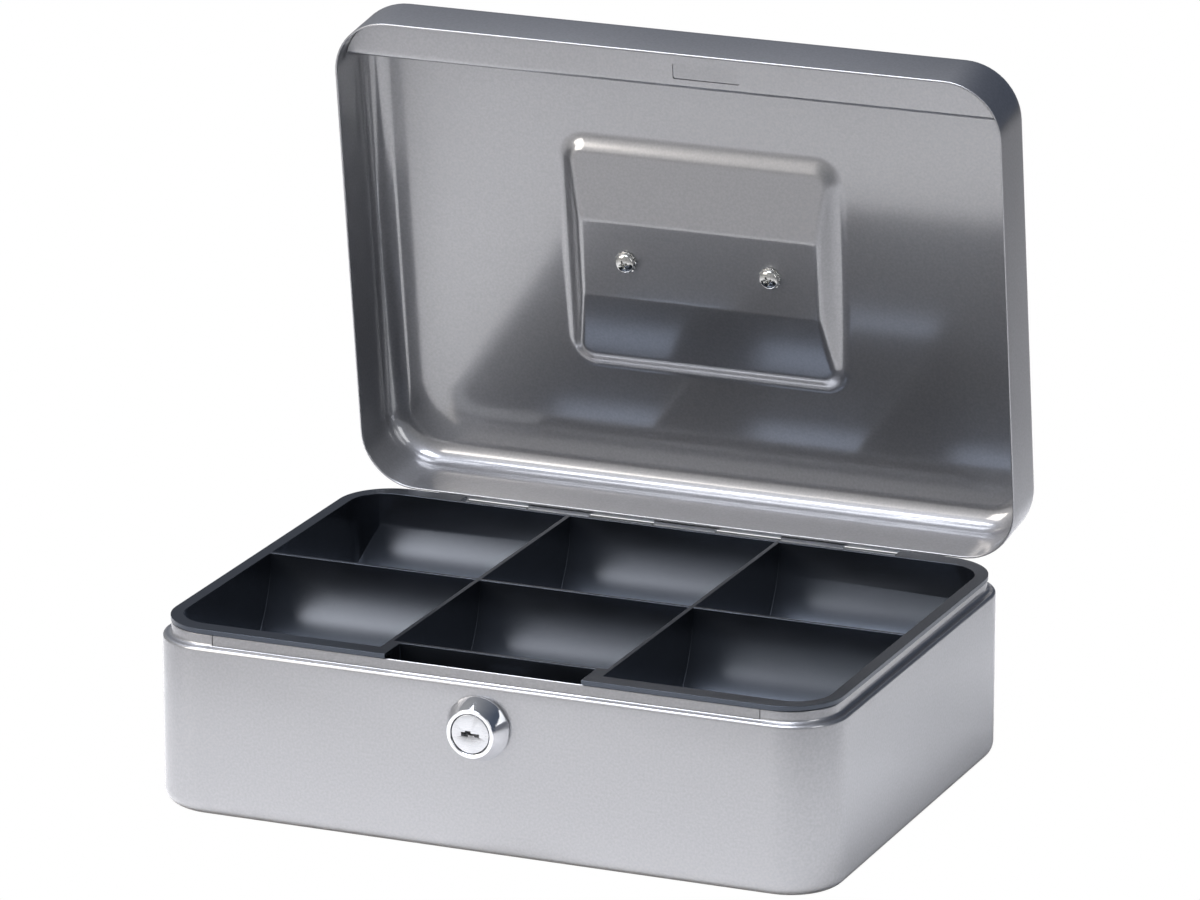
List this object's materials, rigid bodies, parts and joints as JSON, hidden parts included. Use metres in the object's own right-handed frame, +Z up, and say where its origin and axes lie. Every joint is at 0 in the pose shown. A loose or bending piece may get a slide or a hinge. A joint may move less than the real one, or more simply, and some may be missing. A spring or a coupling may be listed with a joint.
{
  "type": "cash box",
  "caption": "Steel cash box with hinged lid, folding handle in a recess, cam lock and lift-out coin tray; shown open.",
  "frame": {"origin": "centre of the flat underside of the box", "axes": "+Z up out of the underside, +X to the right seen from the lock side, -Y towards the lock"},
  "size_m": [0.25, 0.2179, 0.2458],
  "materials": {
    "silver_steel": "silver lacquer, semi-gloss",
    "bright_steel": "plain rolled steel",
    "chrome": "polished",
    "nickel": "nickel plated",
    "zinc_steel": "zinc plated",
    "brass": "stamped",
    "black_nylon": "moulded, matt",
    "black_plastic": "moulded, satin"
  },
  "bodies": {
    "base": {"base_shell": "silver_steel", "front_plate": "silver_steel", "hinge_base_leaf": "bright_steel", "hinge_pin": "bright_steel", "lock_housing": "chrome", "lock_nut": "zinc_steel"},
    "lid": {"lid_shell": "silver_steel", "strike_bar": "silver_steel", "hinge_lid_leaf": "bright_steel", "handle_post_left": "black_nylon", "handle_post_right": "black_nylon", "handle_screw_left": "nickel", "handle_screw_right": "nickel", "handle_washer_left": "nickel", "handle_washer_right": "nickel"},
    "handle": {"handle_bail": "chrome"},
    "lock_core": {"lock_plug": "chrome", "lock_cam": "zinc_steel", "cam_screw": "nickel", "cam_washer": "zinc_steel"},
    "tray": {"coin_tray": "black_plastic"},
    "wafer_1": {"lock_wafer_1": "brass"},
    "wafer_2": {"lock_wafer_2": "brass"},
    "wafer_3": {"lock_wafer_3": "brass"},
    "wafer_4": {"lock_wafer_4": "brass"},
    "wafer_5": {"lock_wafer_5": "brass"}
  },
  "joints": [
    {"name": "lid_hinge", "type": "hinge", "parent": "base", "child": "lid", "pos_m": [0, 0.0939, 0.061], "axis": [1, 0, 0], "range_deg": [0, 82]},
    {"name": "handle_swing", "type": "hinge", "parent": "lid", "child": "handle", "pos_m": [0.0015, 0.10579, 0.15749], "axis": [1, 0, 0], "range_deg": [0, 176]},
    {"name": "lock_turn", "type": "hinge", "parent": "base", "child": "lock_core", "pos_m": [0, -0.09, 0.0462], "axis": [0, -1, 0], "range_deg": [0, 90]},
    {"name": "tray_lift", "type": "slide", "parent": "base", "child": "tray", "axis": [0, 0, 1], "range_m": [0, 0.11]},
    {"name": "wafer_1_slide", "type": "slide", "parent": "lock_core", "child": "wafer_1", "axis": [1, 0, 0], "range_m": [0, 0.0007], "stiffness_N_per_m": 120, "springref_m": -0.001},
    {"name": "wafer_2_slide", "type": "slide", "parent": "lock_core", "child": "wafer_2", "axis": [1, 0, 0], "range_m": [0, 0.0007], "stiffness_N_per_m": 120, "springref_m": -0.001},
    {"name": "wafer_3_slide", "type": "slide", "parent": "lock_core", "child": "wafer_3", "axis": [1, 0, 0], "range_m": [0, 0.0007], "stiffness_N_per_m": 120, "springref_m": -0.001},
    {"name": "wafer_4_slide", "type": "slide", "parent": "lock_core", "child": "wafer_4", "axis": [1, 0, 0], "range_m": [0, 0.0007], "stiffness_N_per_m": 120, "springref_m": -0.001},
    {"name": "wafer_5_slide", "type": "slide", "parent": "lock_core", "child": "wafer_5", "axis": [1, 0, 0], "range_m": [0, 0.0007], "stiffness_N_per_m": 120, "springref_m": -0.001}
  ]
}
